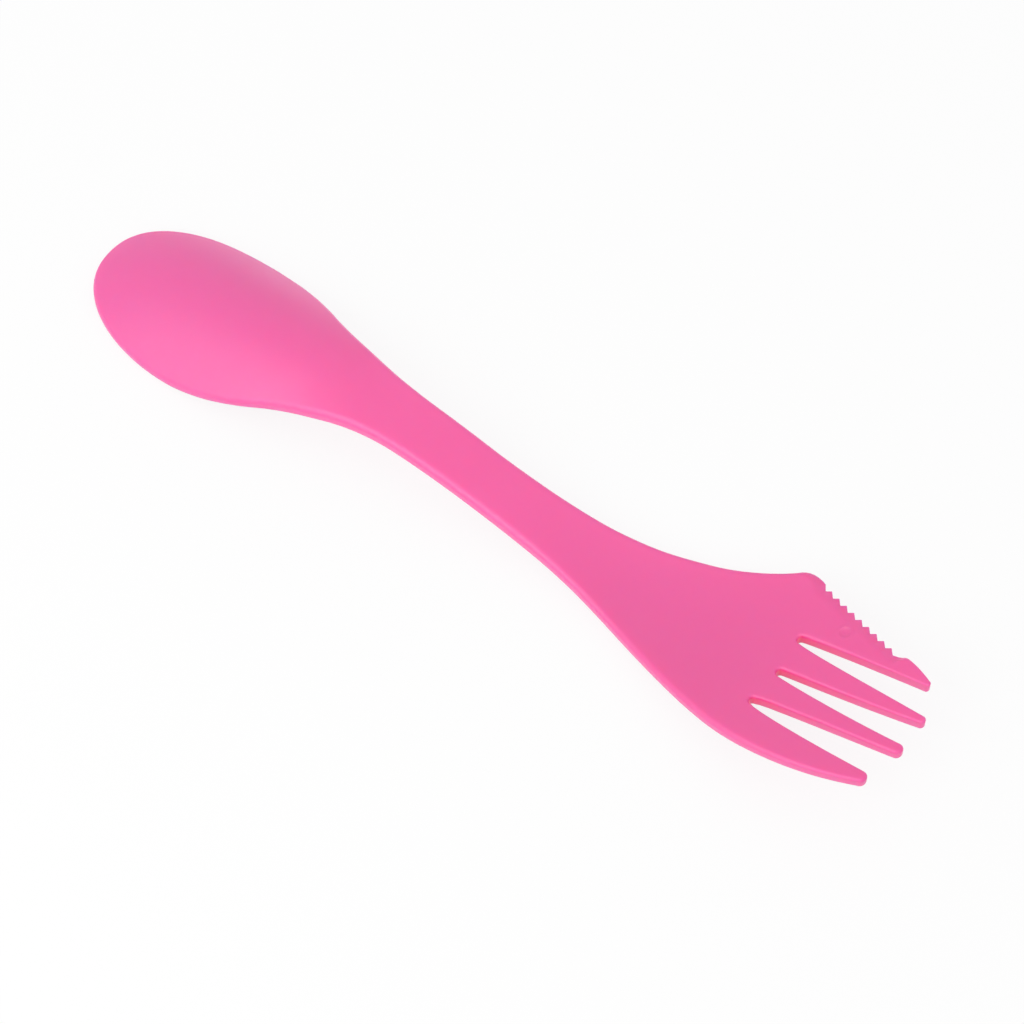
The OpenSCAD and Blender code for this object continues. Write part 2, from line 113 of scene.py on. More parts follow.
class SporkTines(bpy.types.PropertyGroup):
    """Sizes of the tines, the slots between them and the knife edge"""
    slot_len: size("Slot length", "From the slots' roots to the tips of the middle tines", 0.0264)
    slot_pitch: size("Slot pitch", "Distance between the middles of two slots", 0.0071)
    slot_shift: size("Slot shift", "Sideways shift of the slots, away from the knife edge", 0.00045)
    slot_root_w: size("Root width", "Width of a slot at its round root", 0.0014)
    slot_mouth_w: size("Mouth width", "Width of a slot at the tips", 0.0054)
    slot_bow: size("Slot bow", "How far the slots bow towards the knife edge", 0.001)
    root_ahead: size("Root ahead", "How much further out the middle slot's root lies", 0.0006)
    outer_setback: size("Outer setback", "How far the plain outer tine ends behind the middle ones", 0.0018)
    outer_curve_in: size("Outer curve", "How far the plain outer tine curves in", 0.0042)
    shoulder_y: size("Shoulder", "Distance from the middle line to the knife's shoulder", 0.0183)
    shoulder_back: size("Shoulder at", "From the middle tines' tips back to the knife's shoulder", 0.0312)
    first_tooth_back: size("First tooth at", "From the middle tines' tips back to the first tooth", 0.0272)
    knife_draw_in: size("Knife draw-in", "How far the knife edge draws in over its length", 0.0059)
    tooth_count: IntProperty(name="Teeth", description="Number of teeth", default=9, min=1, max=20)
    tooth_h: size("Tooth height", "Height of a tooth", 0.00085)
    tooth_recess: size("Tooth recess", "How far the teeth lie behind the plain outline", 0.0002)
    bevel_w: size("Bevel width", "Width of the bevel behind the teeth", 0.0018)
    knife_t: size("Knife thickness", "Thickness of the knife edge", 0.0011)
    blunt_len: size("Blunt length", "Plain stretch between the last tooth and the tip", 0.008)
    blunt_bulge: size("Blunt bulge", "How far the plain stretch bulges over the straight line", 0.0004)
    knife_setback: size("Knife setback", "How far the knife's tine ends behind the middle ones", 0.003)
    bowl_edge_r: size("Bowl edge", "Edge radius round the bowl", 0.0006)
    handle_edge_r: size("Handle edge", "Edge radius along the handle", 0.0011)
    outer_edge_r: size("Outer edge", "Edge radius along the outer sides of the fork", 0.001)
    tine_edge_r: size("Tine edge", "Edge radius along the slots and round the tips", 0.0006)


class SporkPlastic(bpy.types.PropertyGroup):
    """Colour and surface of the plastic"""
    pink: colour("Pink", "Colour of the plastic", (0.878, 0.122, 0.388))
    # Painted light: a brighter, deeper pink painted deep in the slots, where the walls light each other
    painted_slot_light: colour("Slot pink", "Its colour where it lights itself, deep in the slots", (1.0, 0.050, 0.300))
    # Painted shade: a darker copy of the pink, painted towards the tines where less light falls
    painted_tine_shade: colour("Deep pink", "Its colour towards the tines", (0.812, 0.110, 0.353))
    roughness: share("Roughness", "Roughness of the moulded surface", 0.39)
    depth: share("Depth", "How much light goes into the plastic and out again", 0.7)
    grain: size("Grain", "Height of the mould's texture", 0.000004)
    mark_r: size("Mark", "Radius of the small round mark of the mould near the teeth", 0.0016)
    mark_depth: size("Mark depth", "Depth of the mark", 0.00025)


class SporkStudio(bpy.types.PropertyGroup):
    """Camera, lamps and floor"""
    turn: angle("Turn", "Direction of the camera round the spork", 36.75)
    height: angle("Height", "Angle of the camera over the table", 58.9)
    distance: size("Distance", "From the camera to the middle of the spork", 0.606)
    lens: number("Lens", "Focal length in millimetres", 125.66)
    sky: number("Sky", "Strength of the even light all round", 0.84)
    key: number("Key", "Power of the large lamp at the near side, in watts", 0.8)
    glow: number("Glow", "Strength of the bright side wall that only the sheen shows", 3.0)
    floor: colour("Floor", "Colour of the table", (0.9, 0.9, 0.9))


# Curves of the shape as [place, share]: the bowl's sides to the waist, the head's sides from the waist, the rim
# from the nose to the neck, the handle from the neck to the palm, and the head from the palm to the tips

BOWL_FLARE = [[0, 1], [0.12, 0.935], [0.2, 0.83], [0.27, 0.695], [0.33, 0.555], [0.4, 0.415], [0.47, 0.3],
              [0.54, 0.19], [0.61, 0.105], [0.7, 0.043], [0.82, 0.017], [1, 0]]
HEAD_FLARE = [[0, 0], [0.1, 0.009], [0.19, 0.03], [0.27, 0.065], [0.35, 0.124], [0.43, 0.217], [0.5, 0.32],
              [0.6, 0.495], [0.7, 0.672], [0.8, 0.835], [0.9, 0.957], [1, 1]]
RIM_RISE = [[0, 0.05], [0.12, 0.02], [0.25, 0], [0.33, 0.005], [0.41, 0.05], [0.5, 0.175], [0.6, 0.385],
            [0.7, 0.62], [0.8, 0.815], [0.9, 0.955], [1, 1]]
HANDLE_FALL = [[0, 1], [0.12, 0.945], [0.25, 0.82], [0.4, 0.615], [0.55, 0.42], [0.7, 0.245], [0.85, 0.085],
               [1, 0]]
HEAD_RISE = [[0, 0], [0.13, 0.05], [0.28, 0.176], [0.43, 0.34], [0.58, 0.52], [0.74, 0.727], [0.87, 0.88],
             [1, 1], [1.15, 1.12]]
# The neck's place as a share of the waist's, and as a share of the neck's where the bowl's wall starts to thicken
NECK_SHARE = 0.76
WALL_START_SHARE = 0.5
# From the waist to the head's widest place: where the dish starts, and where the knife's shoulder starts
DISH_START_SHARE = 0.05
SHOULDER_FROM_SHARE = 0.62
# How far the knife's shoulder is rounded
SHOULDER_ROUND = 0.0014
# The share of the bowl's half width that the front row of the nose takes
NOSE_FRONT_SHARE = 0.8
# A tip's edge radius over its own radius, and how far its arc turns to either side at most
TIP_EDGE_SHARE = 0.6
TIP_TURN = 0.43 * np.pi
# Each slot, from the plain side: its mouth, bow and root's place as shares of the sizes, and how fast it opens
MOUTH_SHARES = (1.06, 0.93, 0.95)
BOW_SHARES = (0.8, 1.1, 0.35)
ROOT_SHARES = (0, 1, 0)
OPENING_SHARES = (0.64, 0.85, 0.76)
# A tooth's rise as a share of its pitch, and how far its tip is rounded
TOOTH_LEAN = 0.35
TOOTH_ROUND = 0.12
# How hollow the bevel is, and how many of its widths it takes to fade out behind the teeth
BEVEL_HOLLOW = 1.6
BEVEL_FADE = 1.4
TINES = 4
# Faces across a tine, round a slot's root, along a tooth, round the rounded edge, and along the spork
COLS = 14
ROOT_ROWS = 9
TOOTH_ROWS = 16
EDGE_STEPS = 7
NOSE_ROWS, BODY_ROWS, TINE_ROWS, BLUNT_ROWS = 26, 190, 46, 36
# Edges that turn by more than this stay sharp: the teeth's
SHARP_ANGLE = radians(42)
# Steps for measuring slopes, along the spork in metres and round the nose as a share
TINY = 1e-6
NOSE_TINY = 1e-5
TIP_ROUNDS = 20
# Inputs of the node tree that cuts the teeth
SAW_INPUTS = ("First valley", "Tooth pitch", "Teeth", "Tooth height", "Recess", "Lean", "Run-in", "Run-out")

# The plastic: how often its flow marks, its haze and its grain repeat in a metre, and the depth that light goes in
FLOW_SCALE = (18, 60, 60)
HAZE_SCALE = 240
GRAIN_SCALE = 5200
DEEPEST, DEPTH_BY_COLOUR = 0.003, (1.0, 0.2, 0.35)
# The round mark of the mould: its place, and its relief from the middle outwards
MARK_AT = (0.0647, 0.0100)
MARK_RELIEF = [(0, 0.1), (0.35, 0.3), (0.65, 1.0), (1, 0.75)]
# A slot's wall, where light is painted: how far it looks for the wall opposite, and the shares of open sky where its
# painted light starts and is full
SLOT_REACH, SLOT_OPEN, SLOT_CLOSED = 0.005, 0.85, 0.45
# Painted shade: the plastic is painted a darker copy of its pink between these places along the spork, towards the
# tines
SHADE_FROM, SHADE_TO = 0.01, 0.065

WHITE = (1, 1, 1, 1)
# The table: half its side, its gap below the spork, how white the camera sees it, and its strength in the sheen
TABLE_REACH, TABLE_GAP = 3.0, 0.00003
TABLE_WHITE, TABLE_SHEEN = 0.86, 1.3
# The lamp's side and distance, and the ways to the lamp and to the bright wall as shares of right, near and up
KEY_SIDE, KEY_DISTANCE = 0.35, 0.5
KEY_WAY = (-0.6, 0.55, 0.7)
WALL_WAY = (-0.38, 0.7, 0.7)
# The bright wall starts and is full where a direction agrees with the way to it by these cosines
WALL_START, WALL_FULL = 0.35, 0.95
# The camera turns round this height, and looks this far right of and below the middle
MIDDLE_Z, AIM_RIGHT, AIM_DOWN = 0.008, 0.00288, 0.00637


def curve(stops, s):
    """Smooth curve through the stops, level at both ends"""
    x, y = np.array(stops, float).T
    slope = np.zeros(len(x))
    slope[1:-1] = (y[2:] - y[:-2]) / (x[2:] - x[:-2])
    s = np.clip(s, x[0], x[-1])
    k = np.clip(np.searchsorted(x, s, side="right") - 1, 0, len(x) - 2)
    h = x[k + 1] - x[k]
    u = (s - x[k]) / h
    return (y[k] * (1 + 2 * u) * (1 - u) ** 2 + y[k + 1] * u * u * (3 - 2 * u)
            + h * slope[k] * u * (1 - u) ** 2 + h * slope[k + 1] * u * u * (u - 1))


def step(a, b, x):
    """0 up to a, 1 from b on, and smooth between"""
    u = np.clip((x - a) / (b - a), 0, 1)
    return u * u * (3 - 2 * u)


def mix(a, b, u):
    return a + (b - a) * u


def soft_min(a, b, r):
    """The smaller one, rounded over r where they cross"""
    return np.minimum(a, b) - np.maximum(r - np.abs(a - b), 0) ** 2 / (4 * r)


class Form:
    """Plan and heights of the spork, from its sizes: x runs from the spoon's tip, y towards the knife"""

    def __init__(self, shape, tines):
        for group in (shape, tines):
            for key in group.bl_rna.properties.keys():
                if key not in ("name", "rna_type"):
                    setattr(self, key, getattr(group, key))
        self.neck_at = NECK_SHARE * self.waist_at
        self.head_wide_at, self.palm_at = self.length - self.head_wide_back, self.length - self.palm_back
        self.root_at, self.shoulder_at = self.length - self.slot_len, self.length - self.shoulder_back
        self.palm_edge = self.wall(self.palm_at) + self.dish(self.palm_at)
        rim_share = 1 - 2 * self.bowl_edge_r / self.bowl_w
        flank = atan2(4 * self.bowl_depth * rim_share, self.bowl_w)
        self.rim_z = (self.bowl_wall / cos(flank) - self.bowl_depth * (1 - rim_share ** 2)
                      + self.bowl_edge_r * (1 - cos(flank)) / (1 + sin(flank)))
        self.plain_end, self.knife_end = self.length - self.outer_setback, self.length - self.knife_setback
        self.sheet_root = self.root_at - self.tine_edge_r
        self.root_r = self.slot_root_w / 2 + self.tine_edge_r
        self.knife_from = self.length - self.first_tooth_back
        self.knife_to = self.knife_end - self.blunt_len
        self.tooth_pitch = (self.knife_to - self.knife_from) / self.tooth_count
        self.run_in = (1 - TOOTH_LEAN) * self.tooth_pitch
        self.shoulder_end = self.knife_from - self.run_in
        self.knife_lead = self.sheet_root - self.shoulder_end
        self.bevel_reach = self.bevel_w + self.tooth_h + self.tooth_recess
        self.bevel_fall = (self.tine_t - self.knife_t) / 2 / (self.bevel_w + self.tooth_h)
        self.tips = [self.tip(t) for t in range(TINES)]

    def nose_x(self, f):
        """Place of the nose's outline at a share of the bowl's half width"""
        return self.bowl_wide_at * (1 - (1 - np.abs(f) ** self.bowl_bluntness) ** (1 / self.bowl_bluntness))

    def half_w(self, x):
        """Half of the width, without the knife's shoulder and the tines' curves"""
        x = np.asarray(x, float)
        b, wide, waist = self.bowl_bluntness, self.bowl_wide_at, self.waist_at
        nose = self.bowl_w / 2 * (1 - np.clip(1 - x / wide, 0, 1) ** b) ** (1 / b)
        bowl = mix(self.waist_w, self.bowl_w, curve(BOWL_FLARE, (x - wide) / (waist - wide))) / 2
        to_head = (x - waist) / (self.head_wide_at - waist)
        head = mix(self.waist_w, self.head_w, curve(HEAD_FLARE, to_head)) / 2
        return np.where(x < wide, nose, np.where(x < waist, bowl, head))

    def plain_side(self, x):
        run = np.maximum(x - self.head_wide_at, 0) / (self.plain_end - self.head_wide_at)
        return self.half_w(x) - self.outer_curve_in * run ** self.bowl_bluntness

    def knife_line(self, x):
        """Line of the knife edge from the shoulder to the tip, with the bulge of its plain stretch"""
        run = (x - self.shoulder_at) / (self.knife_to - self.shoulder_at)
        straight = self.shoulder_y - self.knife_draw_in * run
        return straight + self.blunt_bulge * np.sin(np.pi * np.maximum(x - self.knife_to, 0) / self.blunt_len)

    def knife_side(self, x):
        """Outline of the knife's side: the handle's flare carried on to the shoulder, then the knife line"""
        start = mix(self.waist_at, self.head_wide_at, SHOULDER_FROM_SHARE)
        w = self.half_w(start)
        slope = (w - self.half_w(start - TINY)) / TINY
        run = self.shoulder_at - start
        u = (x - start) / run
        flare = w + run * (slope * u + (2 * (self.shoulder_y - w) / run - 2 * slope) * u * u / 2)
        return np.where(x < start, self.half_w(x), soft_min(flare, self.knife_line(x), SHOULDER_ROUND))

    def edge_z(self, x):
        """Height of the upper face along its sides"""
        return np.where(x < self.neck_at,
                        mix(self.rim_z, self.neck_rise + self.palm_edge, curve(RIM_RISE, x / self.neck_at)),
                        np.where(x < self.palm_at,
                                 self.palm_edge + self.neck_rise
                                 * curve(HANDLE_FALL, (x - self.neck_at) / (self.palm_at - self.neck_at)),
                                 self.palm_edge + self.tine_rise
                                 * curve(HEAD_RISE, (x - self.palm_at) / (self.length - self.palm_at))))

    def crown(self, x):
        front = 1 - np.clip(1 - x / self.bowl_deep_at, 0, 1) ** 2
        rear = 1 - step(self.bowl_deep_at, self.bowl_len, x)
        return self.bowl_depth * np.where(x < self.bowl_deep_at, front, rear)

    def dish(self, x):
        to_head = (x - self.waist_at) / (self.head_wide_at - self.waist_at)
        return self.dish_depth * step(DISH_START_SHARE, 1, to_head)

    def upper_z(self, x, y):
        f = y / np.maximum(self.half_w(x), TINY)
        return self.edge_z(x) + (self.crown(x) - self.dish(x)) * (1 - f * f)

    def along(self, x, bowl, handle, tine):
        """A size that grows from the bowl's to the handle's and then to the tines'"""
        before = mix(bowl, handle, step(WALL_START_SHARE * self.neck_at, self.neck_at, x))
        return np.where(x < self.waist_at, before, mix(handle, tine, step(self.waist_at, self.root_at, x)))

    def wall(self, x):
        taper = np.maximum(x - self.root_at, 0) / self.slot_len
        return self.along(x, self.bowl_wall, self.handle_t, self.tine_t) + (self.tip_t - self.tine_t) * taper

    def edge_r(self, x):
        return self.along(x, self.bowl_edge_r, self.handle_edge_r, self.outer_edge_r)

    def slot_x(self, s):
        return self.root_at + self.root_ahead * ROOT_SHARES[s]

    def slot_y(self, s, x):
        bow = self.slot_bow * BOW_SHARES[s] * (np.maximum(x - self.root_at, 0) / self.slot_len) ** 3
        return (s - 1) * self.slot_pitch - self.slot_shift + bow

    def half_gap(self, s, x, grown=0):
        """Half of a slot's width at a place, with its round root grown by an edge radius"""
        r = self.slot_root_w / 2 + grown
        u = x - self.slot_x(s) + grown
        open_share = (np.maximum(u - r, 0) / (self.slot_len - self.slot_root_w / 2)) ** OPENING_SHARES[s]
        return np.where(u < r, np.sqrt(np.maximum(r * r - (r - u) ** 2, 0)),
                        mix(self.slot_root_w, self.slot_mouth_w * MOUTH_SHARES[s], open_share) / 2 + grown)

    def tine_sides(self, t, x):
        """Both sides of a tine, from the plain side to the knife's"""
        return (-self.plain_side(x) if t == 0 else self.slot_y(t - 1, x) + self.half_gap(t - 1, x),
                self.knife_line(x) if t == TINES - 1 else self.slot_y(t, x) - self.half_gap(t, x))

    def tip(self, t):
        """Centre and radius of a tine's round tip"""
        end = {0: self.plain_end, TINES - 1: self.knife_end}.get(t, self.length)
        x = end - self.tine_edge_r
        for _ in range(TIP_ROUNDS):
            low, high = self.tine_sides(t, x)
            x = end - (high - low) / 2
        low, high = self.tine_sides(t, x)
        return float(x), float((low + high) / 2), float((high - low) / 2)


class Skin:
    """Upper sheet of the spork as a grid of places, and the rim that its rounded edge grows from"""

    def __init__(self, form):
        self.form = form
        self.places, self.cells, self.knife_place = [], [], {}
        self.bevel_end = form.knife_to + BEVEL_FADE * form.bevel_w
        body = self.body()
        self.tine_grids = [self.tine(t, body[-1]) for t in range(TINES)]
        for grid in [body] + self.tine_grids:
            grid = np.array(grid)
            corners = [grid[:-1, :-1], grid[1:, :-1], grid[1:, 1:], grid[:-1, 1:]]
            self.cells.append(np.stack(corners, -1).reshape(-1, 4))
        self.cells = np.concatenate(self.cells)
        self.places = np.array(self.places)
        self.walk(body)

    def add(self, points):
        """Keeps a row of points and gives their numbers"""
        first = len(self.places)
        self.places += [tuple(p) for p in np.asarray(points)]
        return list(range(first, len(self.places)))

    def inset(self, p, ahead, side, r):
        """A point of the outline moved in square to it by r"""
        d = (ahead - p) / np.linalg.norm(ahead - p)
        return p + side * r * np.array([-d[1], d[0]])

    def knife_inset(self, x, r):
        """How far the sheet ends behind the knife's side: an edge radius, or the bevel's reach"""
        return mix(r, self.form.bevel_reach, self.bevelled(x))

    def edges_at(self, x):
        """Both ends of a row across the body, moved in by the edge or the bevel, and the far end's place"""
        f = self.form
        r, e = f.edge_r(x), x - f.knife_lead * step(f.palm_at, f.sheet_root, x)
        deep = self.knife_inset(e, f.edge_r(e))
        near, near_ahead = (np.array([a, -f.plain_side(a)]) for a in (x, x + TINY))
        far, far_ahead = (np.array([a, f.knife_side(a)]) for a in (e, e + TINY))
        near = self.inset(near, near_ahead, 1, r)
        far = self.inset(far, far_ahead, -1, deep)
        level = step(f.sheet_root - f.head_w / 4, f.sheet_root, x)
        return (mix(near, np.array([x, r - f.plain_side(x)]), level),
                mix(far, np.array([e, f.knife_side(e) - deep]), level), float(e))

    def body(self):
        """Rows across the spork, from the nose to the line of the slots' roots"""
        f, n = self.form, TINES * COLS
        shares = np.linspace(0, 1, n + 1)
        nose = f.nose_x(NOSE_FRONT_SHARE)
        front = []
        for s in (2 * shares - 1) * NOSE_FRONT_SHARE:
            here = np.array([f.nose_x(s), s * f.bowl_w / 2])
            ahead = np.array([f.nose_x(s + NOSE_TINY), (s + NOSE_TINY) * f.bowl_w / 2])
            front.append(self.inset(here, ahead, -1, f.bowl_edge_r))
        rows = [self.add(front)]
        bow = 1 - f.nose_x((2 * shares - 1) * NOSE_FRONT_SHARE) / nose
        for i in range(1, NOSE_ROWS):
            s = i / NOSE_ROWS
            near, far, _ = self.edges_at(mix(nose, f.bowl_wide_at, s))
            row = near + (far - near) * shares[:, None]
            row[:, 0] -= nose * (1 - s) ** 2 * bow
            rows.append(self.add(row))
        for i in range(BODY_ROWS + 1):
            x = mix(f.bowl_wide_at, f.sheet_root, i / BODY_ROWS)
            near, far, knife = self.edges_at(x)
            slots = [f.slot_y(s, x) for s in range(TINES - 1)]
            to_roots, places = step(f.waist_at, f.sheet_root, x), np.arange(n + 1) / COLS
            y = mix(mix(near[1], far[1], shares),
                    np.interp(places, range(TINES + 1), [near[1], *slots, far[1]]), to_roots)
            leads = [near[0]] + [x + f.root_ahead * lead for lead in ROOT_SHARES] + [far[0]]
            slanted = mix(near[0], far[0], (y - near[1]) / (far[1] - near[1]))
            x_of = mix(slanted, np.interp(places, range(TINES + 1), leads), to_roots)
            rows.append(self.add(np.stack([x_of, y], -1)))
            self.knife_place[rows[-1][-1]] = knife
        return rows

    def tine_edge(self, t, x, r):
        """Edge radius at a place of a tine: it shrinks where the tip is narrow"""
        f = self.form
        narrow = min(f.tine_edge_r, TIP_EDGE_SHARE * f.tips[t][2])
        return mix(r, narrow, step(f.root_at + f.root_r, f.tips[t][0], x))

    def bevelled(self, x):
        """How far the edge is a bevel: it fades in along the shoulder and out behind the teeth"""
        f = self.form
        return step(f.shoulder_at - f.bevel_w, f.shoulder_end, x) * (1 - step(f.knife_to, self.bevel_end, x))

    def tine(self, t, root_row):
        """Rows along a tine, from the last row of the body to the round tip"""
        f = self.form
        tip_x, tip_y, tip_r = f.tips[t]
        xs = list(f.sheet_root + f.root_r * (1 - np.cos(np.linspace(0, np.pi / 2, ROOT_ROWS + 1)[1:])))
        if t == TINES - 1:
            knife = list(np.linspace(f.shoulder_end, f.knife_from, TOOTH_ROWS // 2)[1:-1])
            knife += list(np.linspace(f.knife_from, f.knife_to, f.tooth_count * TOOTH_ROWS + 1))
            xs += list(np.linspace(xs[-1], f.knife_to, len(knife) - len(xs) + 1)[1:])
            blunt = list(np.linspace(f.knife_to, tip_x, BLUNT_ROWS)[1:])
            xs, knife = xs + blunt, knife + blunt
        else:
            xs += list(np.linspace(xs[-1], tip_x, TINE_ROWS)[1:])
        grid = [root_row[t * COLS:(t + 1) * COLS + 1]]
        for i, x in enumerate(xs):
            ahead = f.root_ahead * (tip_x - x) / (tip_x - f.sheet_root)
            a = x if t == 0 else x + ahead * ROOT_SHARES[t - 1]
            b = knife[i] if t == TINES - 1 else x + ahead * ROOT_SHARES[t]
            more = self.tine_edge(t, x, f.tine_edge_r) - f.tine_edge_r
            if t == 0:
                low = -f.plain_side(a) + self.tine_edge(t, a, f.outer_edge_r)
            else:
                low = f.slot_y(t - 1, a) + f.half_gap(t - 1, a, f.tine_edge_r) + more
            if t == TINES - 1:
                high = f.knife_line(b) - self.knife_inset(b, self.tine_edge(t, b, f.tine_edge_r))
            else:
                high = f.slot_y(t, b) - f.half_gap(t, b, f.tine_edge_r) - more
            shares = np.linspace(0, 1, COLS + 1)[:, None]
            grid.append(self.add(mix(np.array([a, low]), np.array([b, high]), shares)))
        r = tip_r - self.tine_edge(t, tip_x, f.tine_edge_r)
        low, high = np.arctan(np.subtract(f.tine_sides(t, tip_x), f.tine_sides(t, tip_x - TINY)) / TINY)
        turns = np.linspace(max(low - np.pi / 2, -TIP_TURN), min(high + np.pi / 2, TIP_TURN), COLS + 1)
        grid.append(self.add([(tip_x + r * np.cos(a), tip_y + r * np.sin(a)) for a in turns]))
        return grid

    def walk(self, body):
        """Once round the rim against the clock: place, edge radius and whether it may be the knife"""
        f = self.form
        rim = [(v, -1, 0) for v in body[0][:0:-1]] + [(row[0], -1, 0) for row in body]
        for t, grid in enumerate(self.tine_grids):
            rim += [(row[0], t, 0) for row in grid[1:]]
            rim += [(v, t, 0) for v in grid[-1][1:]]
            rim += [(row[-1], t, 1) for row in grid[-2:0:-1]]
            if t < TINES - 1:
                rim.append((grid[0][-1], t, 1))
        rim += [(row[-1], -1, 1) for row in body[:0:-1]]
        self.rim, tine, knife_side = (np.array(c) for c in zip(*rim))
        xs = self.places[self.rim, 0]
        self.rim_knife = knife_side * ((tine == TINES - 1) | (tine < 0))
        # The knife's edge leaves the sheet square to the outline, up to the plain stretch behind the teeth
        self.rim_line = self.rim_knife * (1 - step(self.bevel_end, f.tips[-1][0], xs)) * (xs > f.bowl_wide_at)
        place = np.minimum([self.knife_place.get(v, x) for v, x in zip(self.rim, xs)], f.knife_to)
        rise = f.knife_side(place) - f.knife_side(place - TINY)
        self.line_way = np.stack([-rise, TINY + 0 * rise], -1) / np.hypot(rise, TINY)[:, None]
        self.rim_radius = np.array([
            f.edge_r(x) if t < 0 else self.tine_edge(t, x, f.tine_edge_r if t or side else f.outer_edge_r)
            for x, t, side in zip(xs, tine, knife_side)])


def moulding(form):
    """Points, faces and the teeth's cutting directions of the whole spork, in metres"""
    f, skin = form, Skin(form)
    x, y = skin.places.T
    z = f.upper_z(x, y)
    e = TINY
    lean = np.sqrt(((f.upper_z(x + e, y) - z) / e) ** 2 + ((f.upper_z(x, y + e) - z) / e) ** 2 + 1)
    upper = np.stack([x, y, z], -1)
    lower = upper - np.stack([0 * x, 0 * x, f.wall(x) * lean], -1)
    rim = skin.rim
    p = skin.places[rim]
    d = np.roll(p, -1, 0) - np.roll(p, 1, 0)
    d /= np.linalg.norm(d, axis=1)[:, None]
    out = np.stack([d[:, 1], -d[:, 0]], -1)
    out = mix(out, skin.line_way, skin.rim_line[:, None])
    out /= np.linalg.norm(out, axis=1)[:, None]
    knife = skin.rim_knife * skin.bevelled(p[:, 0])
    back = p - e * out
    slope = (f.upper_z(p[:, 0], p[:, 1]) - f.upper_z(back[:, 0], back[:, 1])) / e
    points, cut = [upper, lower], [np.zeros_like(upper), np.zeros_like(lower)]
    rings = []
    for side in (1, -1):
        a = np.arctan(-side * slope)
        r = skin.rim_radius / (1 - np.sin(a))
        for s in (range(1, EDGE_STEPS + 1) if side > 0 else range(EDGE_STEPS, 0, -1)):
            u = s / EDGE_STEPS
            turn = mix(a, np.pi / 2, u)
            arc = np.stack([r * (np.sin(turn) - np.sin(a)), r * (np.cos(a) - np.cos(turn))], -1)
            fall = np.tan(a) + f.bevel_fall
            sink = u * np.tan(a) + u ** BEVEL_HOLLOW * f.bevel_fall
            bevel = f.bevel_reach * np.stack([u + 0 * fall, sink], -1)
            move = mix(arc, bevel, knife[:, None])
            base = (upper if side > 0 else lower)[rim]
            rings.append(base + np.concatenate([move[:, :1] * out, -side * move[:, 1:]], 1))
            cut.append(-(u * skin.rim_knife)[:, None] * np.stack([out[:, 0], out[:, 1], -side * fall], -1))
    points = np.concatenate(points + rings)
    n, m, c = len(upper), len(rim), skin.cells
    loops = [rim] + [2 * n + k * m + np.arange(m) for k in range(2 * EDGE_STEPS)] + [rim + n]
    faces = [c, c[:, ::-1] + n]
    for a, b in zip(loops, loops[1:]):
        faces.append(np.stack([a, b, np.roll(b, -1), np.roll(a, -1)], -1))
    return points, np.concatenate(faces), np.concatenate(cut)


class Wire:
    """A socket in a node tree: sums, differences and products of wires and numbers add Math nodes"""

    def __init__(self, tree, socket=None):
        self.tree, self.socket = tree, socket

    def add(self, kind, settings=None, inputs=None, output=0):
        """A node of a type, its settings first, then the values or links of its sockets"""
        node = self.tree.nodes.new(kind)
        for key, value in (settings or {}).items():
            if key == "stops":
                ramp = node.color_ramp.elements
                while len(ramp) < len(value):
                    ramp.new(0.5)
                for stop, (place, grey) in zip(ramp, value):
                    stop.position, stop.color = place, (grey, grey, grey, 1)
            else:
                setattr(node, key, value)
        for key, value in (inputs or {}).items():
            if isinstance(value, Wire):
                self.tree.links.new(value.socket, node.inputs[key])
            else:
                node.inputs[key].default_value = value
        return Wire(self.tree, node.outputs[output] if len(node.outputs) else None)

    def math(self, operation, *values):
        return self.add("ShaderNodeMath", {"operation": operation}, dict(enumerate(values)))

    def smooth(self, low, high):
        """0 where the wire is at low, 1 where it is at high, and smooth between"""
        return self.add("ShaderNodeMapRange", {"interpolation_type": "SMOOTHSTEP"},
                        {0: self, 1: low, 2: high, 3: 0.0, 4: 1.0})

    def __add__(self, other):
        return self.math("ADD", self, other)

    def __radd__(self, other):
        return self.math("ADD", other, self)

    def __sub__(self, other):
        return self.math("SUBTRACT", self, other)

    def __rsub__(self, other):
        return self.math("SUBTRACT", other, self)

    def __mul__(self, other):
        return self.math("MULTIPLY", self, other)

    def __rmul__(self, other):
        return self.math("MULTIPLY", other, self)

    def __truediv__(self, other):
        return self.math("DIVIDE", self, other)

    def __rtruediv__(self, other):
        return self.math("DIVIDE", other, self)


